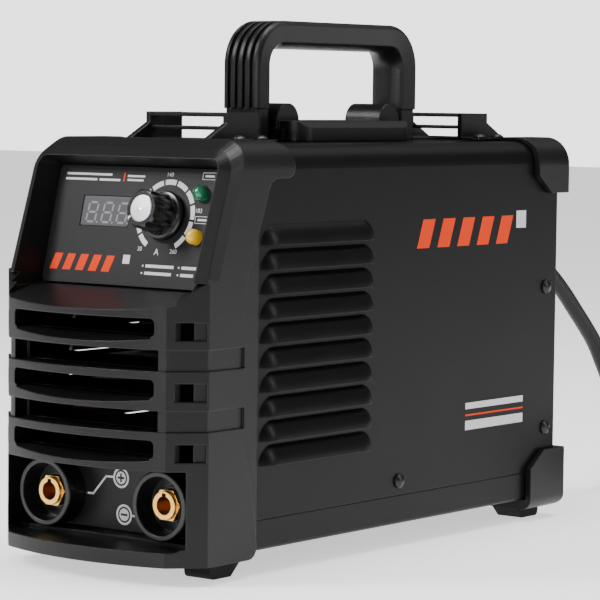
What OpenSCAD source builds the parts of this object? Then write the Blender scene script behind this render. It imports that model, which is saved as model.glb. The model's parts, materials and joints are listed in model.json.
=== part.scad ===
// Stick welding inverter: moulded front and rear frames around a folded sheet case, with its
// controls, output sockets, carrying handle, cooling fan and power electronics.
// Millimetres, +Z up, front towards -Y. The origin is on the ground under the middle of the machine.

/* [Body] */
// Length from the bowed front to the back of the rear bumpers
body_len = 332; // [290:1:400]
// Width of the front moulding
body_w = 131; // [124:0.5:160]
// Height of the front moulding, without the feet
body_h = 202.4; // [190:0.5:230]
// Width of the sheet case
case_w = 126.4; // [120:0.2:155]
// Thickness of the sheet steel
sheet_t = 1.2; // [0.8:0.1:2]
// Radius of the case's upper bends
case_r = 12; // [8:0.5:16]
// Height of the feet
foot_h = 8.7; // [5:0.1:12]
// Wall of the mouldings
wall_t = 3; // [2:0.1:4]
// Gap left between pieces that are fitted together
fit_gap = 0.3; // [0.2:0.05:0.5]

/* [Front moulding] */
// How far the front bows forward in plan
bow = 9; // [4:0.5:16]
// Leg of the 45 degree corner facets
corner_facet = 14.5; // [10:0.5:20]
// Height of one grille band
band_h = 18.8; // [15:0.1:22]
// Spacing of the grille bands
band_pitch = 28.9; // [25:0.1:32]
// Top of the second band above the moulding's lower edge
band_top = 93.5; // [88:0.1:98]
// Height of the slot in each band
slot_h = 8.8; // [6:0.2:10]
// Slope of the slots' floors, down towards the front
floor_slope = 20; // [5:1:24]
// How far the strips between the bands are set back
strip_depth = 1.2; // [0.6:0.1:1.6]
// Backward lean of the hood
hood_lean = 18; // [10:1:24]
// Height at which the hood starts
hood_start = 136.5; // [130:0.1:145]
// How far the rim of the hood stands forward
rim_depth = 10.5; // [6:0.5:12]
// Half width of the opening in the hood's rim
window_half_w = 58.4; // [55:0.1:60]
// Reach of the side flange along the case
flange_reach = 37.5; // [33:0.5:45]
// Reach of the shoulder over the case's top corner
shoulder_reach = 64.5; // [55:0.5:80]

/* [Controls] */
// Backward lean of the control panel
panel_lean = 14; // [8:1:20]
// Half width of the control panel's recess
recess_half_w = 54.2; // [50:0.1:57]
// Outer radius of the knob's skirt
knob_r = 12.3; // [10:0.1:14]
// Height of the knob above the panel
knob_h = 19; // [14:0.5:24]
// Radius of the potentiometer's shaft
shaft_r = 3; // [2:0.5:4]

/* [Output sockets] */
// Distance of each socket from the centre line
socket_x = 37.5; // [33:0.5:40]
// Height of the sockets above the moulding's lower edge
socket_z = 27.1; // [24:0.1:29]
// Radius of the bore that takes the cable plug's pin
socket_bore_r = 4.5; // [3.5:0.25:5]
// Outer radius of the collar
collar_r = 17; // [15:0.1:17.5]

/* [Louvres] */
// Number of louvres on each side
louvre_count = 10; // [4:1:11]
// Spacing of the louvres
louvre_pitch = 11.9; // [11:0.1:13]
// Length of one louvre
louvre_len = 92; // [60:1:110]
// How far a louvre stands out
louvre_out = 4.2; // [2.5:0.1:5]
// Height of the pressed hood of a louvre
louvre_h = 10; // [7:0.5:11]

/* [Handle] */
// Width of the handle
handle_w = 24; // [20:1:30]
// Distance over the handle's two legs
handle_len = 138.6; // [120:1:160]
// Height of the handle above the case
handle_h = 62.2; // [50:1:75]
// Thickness of the grip's sides
grip_t = 11; // [9:0.5:14]
// How far the grip's inner face swells
grip_swell = 3.5; // [1:0.5:5]

/* [Rear] */
// Width over the rear bumpers
bumper_w = 134; // [128:0.5:165]
// Length of the rear bumpers
bumper_len = 29.5; // [25:1:40]
// Size of the fan's square frame
fan_size = 92; // [80:1:98]
// Depth of the fan
fan_depth = 25; // [20:1:38]
// Diameter of the mains cord
cord_d = 9; // [7:0.5:10]

/* [Hidden] */
$fn = 48;

front_y = -body_len / 2;
rear_y = body_len / 2;
edge_y = front_y + bow + corner_facet;
half_w = body_w / 2;
case_half = case_w / 2;
bottom_z = foot_h;
top_z = bottom_z + body_h;
tray_z = bottom_z + wall_t;
case_top = top_z - 2.3;
bow_half = half_w - corner_facet;
bow_r = (bow_half * bow_half + bow * bow) / (2 * bow);
hood_z = bottom_z + hood_start;
hood_tan = tan(hood_lean);
front_top_z = band_z(0) + 1.3;
facet_y = edge_y - corner_facet;
case_y0 = edge_y + flange_reach - 8;
case_y1 = rear_y - 6;
seam_z = tray_z + 15;
case_in = case_half - sheet_t;
lap_out = case_in - 0.2;

// Control panel: its lower edge, its length up the slope and the places of its controls
panel_y = edge_y + 11.5;
panel_z = hood_z - 6.3;
panel_len = 60;
panel_t = 2;
knob_x = 20.2;
knob_v = 35.7;
display_x = -19.2;
display_v = 37;
display_w = 31.6;
display_h = 15.6;
led_x = 41.5;
led_v = [47.5, 26];
led_r = 3.8;
led_out = 4;

// Output sockets
plate_y = edge_y + 12;
plate_t = 2.5;
collar_y = edge_y - 3.3;
bay_half_w = 58;
bay_low_z = bottom_z + 7.2;
bay_high_z = band_z(2) - band_h;
contact_r = 6.9;
contact_set_back = 3.7;
socket_bore_len = 24;

// Top of the case
rack_half_w = 26.7;
rack_h = 14.8;
rack_y0 = edge_y + 40.5;
rack_len = 43;
handle_y0 = edge_y + 101;
base_h = 10.6;

// Rear
panel_back = rear_y - 16.6;
sleeve_half = lap_out - sheet_t - fit_gap;
back_t = 3;
fan_z = tray_z + 66;
fan_y = panel_back - back_t - fan_depth - fit_gap;
fan_bore_r = fan_size / 2 - 3;
gland_x = 36;
gland_z = 141.6;
switch_x = -30;
switch_z = tray_z + 140;
rocker_w = 16.8;
rocker_tilt = 10;
bumper_y0 = rear_y - bumper_len;
bumper_low_z = bottom_z - 2.7;

// Free part of the mains cord, from the gland to the coil, then from the coil to the plug
CORD_ROUTE = [[36, 140, 141.6], [36, 152, 141.6], [36, 164, 141.6], [36, 174, 141], [36, 183, 139],
              [36, 192, 135], [36.5, 201, 128.5], [37, 211, 120], [37.5, 221, 110.5],
              [38, 231, 101], [38.5, 241, 90.5], [38.5, 250, 78.5], [38.2, 258, 67.5],
              [37.2, 265, 56], [35.2, 271.5, 44.5], [31.8, 279, 33], [26.6, 288, 22],
              [19.7, 299, 13.5], [11.2, 312, 8], [3.4, 325, 5.5], [-1.2, 338, 4.7], [-3.1, 352, 4.6]];
LEAD_ROUTE = [[125, 355, 4.6], [125, 346, 4.7], [124.6, 338, 6], [124, 330, 9.5],
              [123, 322, 13.8], [121.8, 316, 16.4], [121.1, 311, 17.4], [121, 307, 17.5],
              [121, 299, 17.5], [121, 294, 17.5]];
coil_at = [61, 354];
coil_r = 50;
coil_w = 18;
coil_h = 25;
plug_at = [121, 300, 17.5];

function band_z(i) = bottom_z + band_top + (1 - i) * band_pitch;
function arc(cx, cy, r, a0, a1, n) =
    [for (i = [0 : n]) [cx + r * cos(a0 + (a1 - a0) * i / n), cy + r * sin(a0 + (a1 - a0) * i / n)]];

// ---------- shared shapes ----------

// Plan of the front moulding, set in by t and running back to y1
module plan(t, y1) {
    hw = half_w - t;
    ye = edge_y + t * (sqrt(2) - 1);
    run = corner_facet + 4;
    intersection() {
        translate([0, front_y + bow_r]) circle(bow_r - t, $fn = 96);
        polygon([[-hw, y1], [-hw, ye], [-hw + run, ye - run], [-hw + run, front_y - 5],
                 [hw - run, front_y - 5], [hw - run, ye - run], [hw, ye], [hw, y1]]);
    }
}

module plan_block(t, y1, z0, z1) {
    translate([0, 0, z0]) linear_extrude(z1 - z0) plan(t, y1);
}

// Arched outline with round upper corners, run along Y
module arch_2d(hw, z0, z1, r) {
    translate([-hw, z0]) square([2 * hw, z1 - r - z0]);
    translate([-hw + r, z0]) square([2 * (hw - r), z1 - z0]);
    for (s = [-1, 1]) translate([s * (hw - r), z1 - r]) circle(r);
}

module along_y(y0, y1) {
    translate([0, y1, 0]) rotate([90, 0, 0]) linear_extrude(y1 - y0) children();
}

// Profile drawn in Y and Z, run across X
module across_x(hw) {
    rotate([90, 0, 90]) translate([0, 0, -hw]) linear_extrude(2 * hw) children();
}

// Outline with four round corners, centred
module round_rect(w, h, r) {
    square([w - 2 * r, h], center = true);
    square([w, h - 2 * r], center = true);
    for (x = [-1, 1], y = [-1, 1]) translate([x * (w / 2 - r), y * (h / 2 - r)]) circle(r);
}

// Panel's own frame: X across, Y up the slope, Z out of the face
module on_panel() {
    translate([0, panel_y, panel_z]) rotate([90 - panel_lean, 0, 0]) children();
}

// Axis pointing forward (-Y) from the given point
module facing_front(x, y, z) {
    translate([x, y, z]) rotate([90, 0, 0]) children();
}

module pan_head(r, h) {
    intersection() {
        cylinder(r = r, h = h);
        translate([0, 0, h - r * 1.35]) sphere(r * 1.35);
    }
}

module hex(af, h) {
    cylinder(r = af / sqrt(3), h = h, $fn = 6);
}

// ---------- front moulding ----------

// Side outline of the moulding: cheeks, hood and the flange that laps the case
module bezel_side() {
    sy = edge_y + shoulder_reach;
    polygon(concat(
        [[front_y - 5, bottom_z], [front_y - 5, ledge_z(front_y - 5)], [facet_y, front_top_z],
         [edge_y, hood_z - 1.4], [edge_y, hood_z], [edge_y + 7, hood_z],
         [edge_y + 7 + (top_z - hood_z) * hood_tan, top_z]],
        arc(sy - 9, top_z - 9, 9, 90, 0, 6),
        arc(sy - 6, top_z - 12.6, 6, 0, -90, 5),
        arc(edge_y + 51, top_z - 25.6, 7, 90, 165, 5),
        [[edge_y + 40.5, bottom_z + 168], [edge_y + 34.5, bottom_z + 153]],
        arc(edge_y + 42, bottom_z + 129, 15, 165, 180, 3),
        [[edge_y + 27, bottom_z + 73]],
        arc(edge_y + 57, bottom_z + 63, 30, 180, 210, 4),
        arc(edge_y + 31, bottom_z + 6, 6, 0, -90, 4)));
}

// Lower, thinner flange that carries on past the thick part
module flange_side() {
    fy = edge_y + flange_reach;
    polygon([[edge_y + 10, bottom_z + 4], [fy - 2, bottom_z + 4], [fy, bottom_z + 8],
             [fy, bottom_z + 163], [fy + 11, bottom_z + 185], [edge_y + 30, bottom_z + 185]]);
}

module bezel_outer() {
    intersection() {
        plan_block(0, edge_y + shoulder_reach + 1, bottom_z, top_z);
        along_y(front_y - 6, edge_y + shoulder_reach + 2) arch_2d(half_w, bottom_z, top_z, case_r + 2);
        across_x(half_w + 1) bezel_side();
    }
    intersection() {
        plan_block(0.8, edge_y + shoulder_reach + 1, bottom_z, top_z - 1);
        across_x(half_w + 1) flange_side();
    }
}

// One step of the hood's rim, as a thin slab that leans with the hood
module rim_slab(side_in, top_in, forward, r, z0 = hood_z - 1.4) {
    multmatrix([[1, 0, 0, 0], [0, 1, hood_tan, edge_y + 7 - forward - hood_z * hood_tan],
                [0, 0, 1, 0], [0, 0, 0, 1]])
        rotate([90, 0, 0]) linear_extrude(0.1)
            arch_2d(half_w - side_in, z0, top_z - top_in, r, $fn = 32);
}

// Steep outer band, then the bevel that faces the user
module hood_rim() {
    hull() {
        rim_slab(0, 0, -1, case_r + 2);
        rim_slab(0, 0, 0, case_r + 2);
        rim_slab(1.6, 4.3, rim_depth * 0.66, case_r);
    }
    hull() {
        rim_slab(1.6, 4.3, rim_depth * 0.66 - 0.5, case_r);
        rim_slab(1.6, 4.3, rim_depth * 0.66, case_r);
        rim_slab(half_w - window_half_w, 9.1, rim_depth, 5);
    }
}

// Recess in front of the control panel, grown by t for its walls
module panel_recess(t) {
    hull() {
        on_panel() translate([-recess_half_w - t, -t, -panel_t - fit_gap - t])
            cube([2 * (recess_half_w + t), panel_len + 2 * t, 0.1]);
        rim_slab(half_w - window_half_w - t, 9.1 - t, rim_depth + 0.2, 5, hood_z - 8);
    }
    across_x(recess_half_w + t)
        polygon([[panel_y + 3, ledge_z(panel_y + 3) - t], [front_y - 6, ledge_z(front_y - 6) - t],
                 [front_y - 6, hood_z + 12], [panel_y + 3, hood_z + 12]]);
}

// The ledge falls from the panel to the front, which gives its bowed edge a droop
function ledge_z(y) = front_top_z + (y - facet_y) * (panel_z - front_top_z) / (panel_y - facet_y);

// Bay in front of the sockets, grown by t for its walls
module socket_bay(t) {
    across_x(bay_half_w + t)
        polygon([[plate_y + t, bay_low_z + 3 - t], [plate_y + t, bay_high_z + t],
                 [front_y - 6, bay_high_z + t], [front_y - 6, bay_low_z - t]]);
}

module bay_mouth() {
    r = 5.5;
    along_y(front_y - 6, edge_y + 1) {
        translate([-bay_half_w + r, bay_low_z]) square([2 * (bay_half_w - r), bay_high_z - bay_low_z]);
        translate([-bay_half_w, bay_low_z + r]) square([2 * bay_half_w, bay_high_z - bay_low_z - r]);
        for (s = [-1, 1]) translate([s * (bay_half_w - r), bay_low_z + r]) circle(r);
    }
}

// Slot with round corners; its floor falls to the front
module band_slot(i) {
    hw = bow_half - 5.7;
    z1 = band_z(i) - 4;
    z0 = z1 - slot_h;
    y1 = facet_y + wall_t + 5;
    along_y(front_y - 6, y1) translate([0, (z0 + z1) / 2]) round_rect(2 * hw, slot_h, 2.4);
    across_x(hw - 2)
        polygon([[front_y - 6, z0 - (facet_y - front_y + 6) * tan(floor_slope)], [facet_y, z0 + 0.01],
                 [facet_y, z1 - 3], [front_y - 6, z1 - 3]]);
}

// Window in each corner facet: a hole, with a shallow sunk field beside it
module facet_window(i) {
    z0 = band_z(i) - 14.4;
    h = 8.6;
    for (s = [-1, 1]) {
        translate([s > 0 ? half_w - 11.5 : -half_w + 6.1, edge_y - corner_facet, z0])
            cube([5.4, corner_facet + 6, h]);
        intersection() {
            translate([s > 0 ? half_w - 6.2 : -half_w + 0.8, edge_y - corner_facet, z0])
                cube([5.4, corner_facet + 6, h]);
            difference() {
                plan_block(-1, edge_y + 12, z0 - 1, z0 + 9);
                plan_block(1.4, edge_y + 12, z0 - 1, z0 + 9);
            }
        }
    }
}

// Set-back strip between two bands
module strip(i) {
    z0 = band_z(i + 1);
    z1 = band_z(i) - band_h;
    difference() {
        plan_block(-2, edge_y + 26.5, z0, z1);
        plan_block(strip_depth, edge_y + 30, z0 - 1, z1 + 1);
    }
    translate([-bow_half + 4.5, front_y - 6, z0])
        cube([2 * (bow_half - 4.5), bow + corner_facet, z1 - z0]);
}

// Air guides behind the grille: sloping floors between two side walls
module air_guides() {
    hw = bow_half - 5.7;
    y1 = edge_y + 22;
    intersection() {
        plan_block(1, y1, bay_high_z, band_z(0));
        union() {
            for (i = [0 : 2]) guide_floor(band_z(i) - 4 - slot_h);
            for (i = [1 : 2]) guide_floor(band_z(i));
            for (s = [-1, 1]) translate([s * (hw + 1), (facet_y + y1) / 2, band_z(1)])
                cube([2, y1 - facet_y, 2 * body_h], center = true);
        }
    }
}

module guide_floor(z) {
    across_x(bow_half - 4.7) polygon([[front_y, z - bow * tan(floor_slope) - 2], [facet_y, z - 2],
                                      [edge_y + 24, z], [edge_y + 24, z + 2], [facet_y, z],
                                      [front_y, z - bow * tan(floor_slope)]]);
}

module bezel_hollow() {
    difference() {
        union() {
            intersection() {
                plan_block(wall_t, case_y0 - 1, bottom_z + wall_t, top_z - wall_t);
                along_y(front_y, case_y0)
                    arch_2d(half_w - wall_t, bottom_z + wall_t, top_z - wall_t, case_r - 1);
                across_x(half_w)
                    polygon([[front_y - 5, bottom_z], [front_y - 5, hood_z - 4],
                             [edge_y + 11, hood_z - 4], [edge_y + 7 + (top_z - hood_z) * hood_tan, top_z - 1],
                             [case_y0, top_z - 1], [case_y0, bottom_z]]);
            }
            along_y(case_y0 - 2, edge_y + shoulder_reach + 10)
                arch_2d(case_half + fit_gap, tray_z - fit_gap, case_top + fit_gap, case_r + fit_gap);
        }
        panel_recess(2.5);
        socket_bay(2.2);
        air_guides();
    }
}

module front_bezel() {
    color([0.09, 0.09, 0.1]) difference() {
        union() {
            bezel_outer();
            hood_rim();
        }
        bezel_hollow();
        panel_recess(0);
        on_panel() translate([-recess_half_w + 4, 4, -20])
            cube([2 * (recess_half_w - 4), panel_len - 8, 18]);
        intersection() {
            socket_bay(0);
            translate([-bay_half_w, front_y + 8, 0]) cube([2 * bay_half_w, 60, 80]);
        }
        bay_mouth();
        translate([-bay_half_w + 6, plate_y - 1, bay_low_z + 6])
            cube([2 * (bay_half_w - 6), 8, bay_high_z - bay_low_z - 9]);
        for (i = [0 : 2]) {
            band_slot(i);
            facet_window(i);
        }
        for (i = [0 : 1]) strip(i);
        translate([-rack_half_w - 14, rack_y0 - 1, case_top]) cube([2 * rack_half_w + 28, 40, 10]);
    }
}

// ---------- controls ----------

module control_panel() {
    color([0.3, 0.3, 0.32]) on_panel() translate([0, 0, -panel_t]) difference() {
        translate([0, panel_len / 2]) linear_extrude(panel_t)
            round_rect(2 * (recess_half_w - fit_gap), panel_len - 2 * fit_gap, 3);
        translate([display_x, display_v, -1]) linear_extrude(panel_t + 2)
            square([display_w, display_h], center = true);
        translate([knob_x, knob_v, -1]) cylinder(r = shaft_r + 1.3, h = panel_t + 2);
        for (v = led_v) translate([led_x, v, -1]) cylinder(r = led_r + fit_gap, h = panel_t + 2);
    }
}

module display_window() {
    color([0.25, 0.24, 0.26]) on_panel() translate([display_x, display_v, -panel_t - 1])
        linear_extrude(panel_t + 0.7)
            round_rect(display_w - 2 * fit_gap, display_h - 2 * fit_gap, 0.8);
}

// Three seven-segment digits, each standing proud of the module's body
module display_module() {
    color([0.75, 0.75, 0.77]) on_panel() translate([display_x, display_v, -panel_t - 1.2]) {
        translate([0, 0, -7]) linear_extrude(7) square([display_w + 4, display_h + 4], center = true);
    }
}

module current_knob() {
    lobes = 10;
    color([0.08, 0.08, 0.09]) on_panel() translate([knob_x, knob_v, 0.5]) difference() {
        union() {
            rotate_extrude() polygon([[0, 0], [knob_r, 0], [knob_r, 2.2], [knob_r - 0.7, 3],
                                      [knob_r - 2, 3.4], [knob_r - 2.6, 6], [0, 6]]);
            cylinder(r = knob_r - 2.6, h = knob_h - 2);
            translate([0, 0, knob_h - 2]) cylinder(r1 = knob_r - 2.6, r2 = knob_r - 3.8, h = 1.2);
        }
        for (i = [0 : lobes - 1]) rotate(360 * i / lobes + 18)
            translate([knob_r - 1.2, 0, 4.2]) cylinder(r = 2.6, h = knob_h, $fn = 32);
        translate([0, 0, knob_h - 2]) cylinder(r = 6.8, h = 4);
        translate([0, 0, -1]) cylinder(r = shaft_r + 3.4, h = 4);
        translate([0, 0, 2]) cylinder(r = shaft_r + 0.05, h = knob_h - 7);
    }
}

module knob_cap() {
    color([0.85, 0.85, 0.86]) on_panel() translate([knob_x, knob_v, knob_h - 1.5 + 0.02])
        rotate_extrude() polygon([[0, 0], [6.6, 0], [6.6, 1], [6.2, 1.4], [0, 1.5]]);
}

module knob_shaft() {
    color([0.7, 0.7, 0.72]) on_panel() translate([knob_x, knob_v, -9]) cylinder(r = shaft_r, h = knob_h + 3.5);
}

// Body, bush and nut of the potentiometer behind the panel
module potentiometer() {
    color([0.55, 0.55, 0.58]) on_panel() translate([knob_x, knob_v, 0]) difference() {
        union() {
            translate([0, 0, -14]) cylinder(r = 8.5, h = 9);
            translate([0, 0, -14]) translate([-5, -12, 0]) cube([10, 12, 2]);
            translate([0, 0, -6]) cylinder(r = shaft_r + 1, h = 6);
            translate([0, 0, -5]) hex(12, 2.6);
        }
        translate([0, 0, -9.1]) cylinder(r = shaft_r + 0.05, h = 20);
    }
}

module led(v) {
    on_panel() translate([led_x, v, -panel_t - 6]) rotate_extrude() {
        square([led_r + 1, 5.6]);
        square([led_r, panel_t + 6 + led_out - 2]);
        translate([0, panel_t + 4 + led_out]) polygon(concat([[0, -1], [led_r, -1]],
            arc(0, 0, led_r, 0, 90, 6)));
    }
}

module power_led() {
    color([0.1, 0.6, 0.4]) led(led_v[0]);
}

module overheat_led() {
    color([0.9, 0.8, 0.1]) led(led_v[1]);
}

module control_board() {
    color([0.1, 0.35, 0.2]) on_panel() {
        translate([-46, 6, -17]) cube([92, 48, 1.6]);
        translate([-40, 8, -15.4]) cube([8, 10, 3]);
        translate([-24, 9, -15.4]) cube([12, 5, 2.4]);
        for (x = [-10, -2, 6]) translate([x, 12, -15.4]) cylinder(r = 2.5, h = 5);
    }
}

// ---------- output sockets ----------

module socket_plate() {
    z0 = bay_low_z + 3 + fit_gap;
    color([0.22, 0.22, 0.24]) difference() {
        translate([-bay_half_w + fit_gap, plate_y - plate_t - 0.2, z0])
            cube([2 * (bay_half_w - fit_gap), plate_t, bay_high_z - fit_gap - z0]);
        for (s = [-1, 1]) facing_front(s * socket_x, plate_y + 1, bottom_z + socket_z)
            cylinder(r = 11 + fit_gap, h = 10);
    }
}

// Moulded collar with its deep cup, seated on the plate and clamped from behind
module socket_collar() {
    depth = plate_y - plate_t - 0.2 - collar_y;
    rotate_extrude($fn = 64) difference() {
        polygon([[0, -9], [11, -9], [11, 0], [collar_r - 0.6, 0], [collar_r - 1, depth - 4],
                 [collar_r, depth - 3], [collar_r, depth - 0.6], [collar_r - 0.6, depth], [0, depth]]);
        polygon([[contact_r + 2, depth - 11], [collar_r - 3.4, depth - 11], [collar_r - 2.6, depth + 1],
                 [0, depth + 1], [0, depth - contact_set_back - 5.6],
                 [contact_r + 2, depth - contact_set_back - 5.6]]);
        translate([0, -10]) square([contact_r + 0.02, 60]);
    }
}

module socket_at(s) {
    facing_front(s * socket_x, plate_y - plate_t - 0.2, bottom_z + socket_z) children();
}

module socket_positive() {
    color([0.1, 0.1, 0.11]) socket_at(-1) socket_collar();
}

module socket_negative() {
    color([0.1, 0.1, 0.11]) socket_at(1) socket_collar();
}

// Brass insert: bored front, keyway, hexagon and the threaded stud behind
module contact() {
    depth = plate_y - plate_t - 0.2 - collar_y;
    mouth = depth - contact_set_back;
    difference() {
        union() {
            translate([0, 0, -17]) cylinder(r = contact_r, h = mouth + 17);
            translate([0, 0, -31]) cylinder(r = 5, h = 15);
        }
        translate([0, 0, mouth - socket_bore_len]) cylinder(r = socket_bore_r, h = socket_bore_len + 1);
        translate([-1.25, socket_bore_r - 1, mouth - 8]) cube([2.5, 2.4, 9]);
    }
    difference() {
        translate([0, 0, mouth - 5.5]) hex(14.6, 3.5);
        translate([0, 0, mouth - 6]) cylinder(r = contact_r - 0.5, h = 5);
    }
}

module contact_positive() {
    color([0.85, 0.65, 0.3]) socket_at(-1) contact();
}

module contact_negative() {
    color([0.85, 0.65, 0.3]) socket_at(1) contact();
}

module socket_nuts() {
    color([0.7, 0.62, 0.4]) for (s = [-1, 1]) {
        socket_at(s) translate([0, 0, -12.1]) difference() {
            translate([0, 0, -0.1]) hex(24, 3);
            translate([0, 0, -1]) cylinder(r = contact_r + 0.05, h = 6);
        }
        socket_at(s) translate([0, 0, -25.2]) difference() {
            hex(16, 5);
            translate([0, 0, -1]) cylinder(r = 5.05, h = 8);
        }
    }
}

module output_busbars() {
    y0 = plate_y + 14.7;
    color([0.75, 0.45, 0.3]) for (s = [-1, 1]) difference() {
        union() {
            translate([s * socket_x - 8, y0, bottom_z + socket_z - 8]) cube([16, 2.5, 55]);
            translate([s * socket_x - 8, y0, bottom_z + socket_z + 44.5]) cube([16, 40, 2.5]);
        }
        facing_front(s * socket_x, y0 + 4, bottom_z + socket_z) cylinder(r = 5.2, h = 6);
    }
}

// ---------- sheet case ----------

module louvre_form(r_off) {
    r = (louvre_out * louvre_out + louvre_h * louvre_h) / (2 * louvre_out);
    end = sqrt(r * r - pow(r - louvre_out, 2));
    translate([case_half + louvre_out - r, 0, 0]) {
        rotate([90, 0, 0]) cylinder(r = r + r_off, h = louvre_len - 2 * end, center = true);
        for (s = [-1, 1]) translate([0, s * (louvre_len / 2 - end), 0]) sphere(r + r_off);
    }
}

// Pressed hood of one louvre, open along its lower edge
module louvre(r_off, x0) {
    intersection() {
        louvre_form(r_off);
        translate([x0, -louvre_len, 0]) cube([20, 2 * louvre_len, 30]);
    }
}

module at_louvres() {
    for (i = [0 : louvre_count - 1])
        translate([0, edge_y + 40.5 + louvre_len / 2, tray_z + 41.4 + louvre_pitch * i])
            children();
}

module case_screw_places() {
    for (p = [[edge_y + 156.5, 22.6], [rear_y - 15, 38.7], [rear_y - 16, 117]])
        translate([0, p[0], tray_z + p[1]]) children();
}

module top_cover() {
    color([0.06, 0.06, 0.07]) difference() {
        union() {
            difference() {
                along_y(case_y0, case_y1) arch_2d(case_half, seam_z + 0.2, case_top, case_r);
                along_y(case_y0 - 1, case_y1 + 1)
                    arch_2d(case_in, seam_z - 1, case_top - sheet_t, case_r - sheet_t);
            }
            for (s = [0, 1]) mirror([s, 0, 0]) at_louvres() louvre(0, case_half - 0.2);
        }
        for (s = [0, 1]) mirror([s, 0, 0]) {
            at_louvres() translate([0, 0, -0.01]) louvre(-sheet_t, case_in - 1);
            case_screw_places() rotate([0, 90, 0]) cylinder(r = 2.1, h = case_half + 2);
        }
        translate([case_half - 5, edge_y + flange_reach - 0.5, seam_z - 1]) cube([10, 2.2, 4.5]);
        for (p = rack_holes()) translate([p[0], p[1], case_top - 4]) cylinder(r = 2.1, h = 6);
    }
}

function rack_holes() = [for (s = [-1, 1], y = [rack_y0 + 19, rack_y0 + 36, case_y1 - 17, case_y1 - 34])
                         [s * (rack_half_w + 7), y]];

module base_tray() {
    step = tray_z + 15;
    color([0.06, 0.06, 0.07]) difference() {
        union() {
            along_y(case_y0, case_y1) {
                translate([-case_half + 2, tray_z]) square([case_w - 4, sheet_t]);
                for (s = [0, 1]) mirror([s, 0, 0]) {
                    translate([case_in, tray_z + 2]) square([sheet_t, step - tray_z - 2]);
                    translate([lap_out - sheet_t, step - sheet_t]) square([case_half - lap_out + sheet_t, sheet_t]);
                    translate([lap_out - sheet_t, step - sheet_t]) square([sheet_t, 22]);
                    difference() {
                        translate([case_half - 2, tray_z + 2]) circle(2);
                        translate([case_half - 2, tray_z + 2]) circle(2 - sheet_t);
                        translate([case_half - 6, tray_z + 2]) square([8, 8]);
                        translate([case_half - 6, tray_z - 2]) square([4, 8]);
                    }
                }
            }
        }
        for (s = [0, 1]) mirror([s, 0, 0]) case_screw_places()
            translate([case_half - 8, 0, 0]) rotate([0, 90, 0]) cylinder(r = 1.7, h = 12);
        for (x = [-40 : 10 : 40], y = [-60 : 30 : 60])
            translate([x, y, tray_z - 1]) linear_extrude(4) round_rect(4, 18, 1.9);
    }
}

module case_screws() {
    color([0.12, 0.12, 0.13]) for (s = [0, 1]) mirror([s, 0, 0]) case_screw_places()
        translate([case_half + 0.02, 0, 0]) rotate([0, 90, 0]) {
            pan_head(3.9, 2.6);
            translate([0, 0, -5]) cylinder(r = 1.65, h = 5.2, $fn = 24);
        }
}

// ---------- rear ----------

// Corner bumpers, seen from the side: their front ends are cut back towards the middle
module bumper_side() {
    polygon([[bumper_y0, top_z + 2], [rear_y, top_z + 2], [rear_y, bottom_z + 172],
             [bumper_y0 + 13, bottom_z + 172], [bumper_y0, bottom_z + 182]]);
    y0 = bumper_y0 - 4;
    polygon(concat([[y0, bumper_low_z], [y0, bottom_z + 20], [y0 + 14, bottom_z + 30], [rear_y, bottom_z + 30]],
                   arc(rear_y - 5, bumper_low_z + 5, 5, 0, -90, 4)));
}

module bumper_shell() {
    r = 6;
    hw = bumper_w / 2;
    difference() {
        along_y(bumper_y0 - 4, rear_y) {
            arch_2d(hw, bumper_low_z + r, top_z, case_r + 3);
            translate([-hw + r, bumper_low_z]) square([2 * (hw - r), 2 * r]);
            for (s = [-1, 1]) translate([s * (hw - r), bumper_low_z + r]) circle(r);
        }
        along_y(bumper_y0 - 5, case_y1 + fit_gap)
            arch_2d(case_half + fit_gap, tray_z - fit_gap, case_top + fit_gap, case_r + fit_gap);
        along_y(panel_back, rear_y + 1)
            arch_2d(sleeve_half - back_t, bottom_z + 7.5, top_z - 6, 8);
        translate([-rack_half_w - 14, bumper_y0 - 5, case_top])
            cube([2 * rack_half_w + 28, bumper_len + 6, 10]);
    }
}

module rear_body() {
    intersection() {
        bumper_shell();
        union() {
            across_x(bumper_w) bumper_side();
            along_y(case_y1 - 8, case_y1 + 2) arch_2d(case_in, tray_z, case_top - 1, case_r);
        }
    }
    // panel and its rim, inside the case
    difference() {
        along_y(panel_back - back_t, case_y1 + 2)
            arch_2d(sleeve_half, tray_z + sheet_t + fit_gap, case_top - sheet_t - fit_gap, case_r - 2);
        along_y(panel_back, rear_y)
            arch_2d(sleeve_half - back_t, bottom_z + 7.5, top_z - 6, 8);
    }
}

module rear_frame() {
    color([0.09, 0.09, 0.1]) difference() {
        rear_body();
        facing_front(0, rear_y, fan_z) cylinder(r = fan_bore_r, h = 30);
        for (p = fan_holes()) facing_front(p[0], rear_y, fan_z + p[1]) cylinder(r = 2.2, h = 30);
        facing_front(gland_x, rear_y, gland_z) cylinder(r = 8.3, h = 30);
        translate([switch_x, rear_y, switch_z]) rotate([90, 0, 0]) linear_extrude(30)
            square([22.4, 28.4], center = true);
        for (x = [4 : 5 : 14]) translate([x - 6, panel_back - 8, switch_z - 14]) cube([2.2, 12, 28]);
        for (s = [0, 1]) mirror([s, 0, 0]) case_screw_places()
            translate([case_half - 8, 0, 0]) rotate([0, 90, 0]) cylinder(r = 1.8, h = 7.6);
    }
}

function fan_holes() = [for (x = [-1, 1], z = [-1, 1]) [x * (fan_size / 2 - 4.8), z * (fan_size / 2 - 4.8)]];

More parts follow.
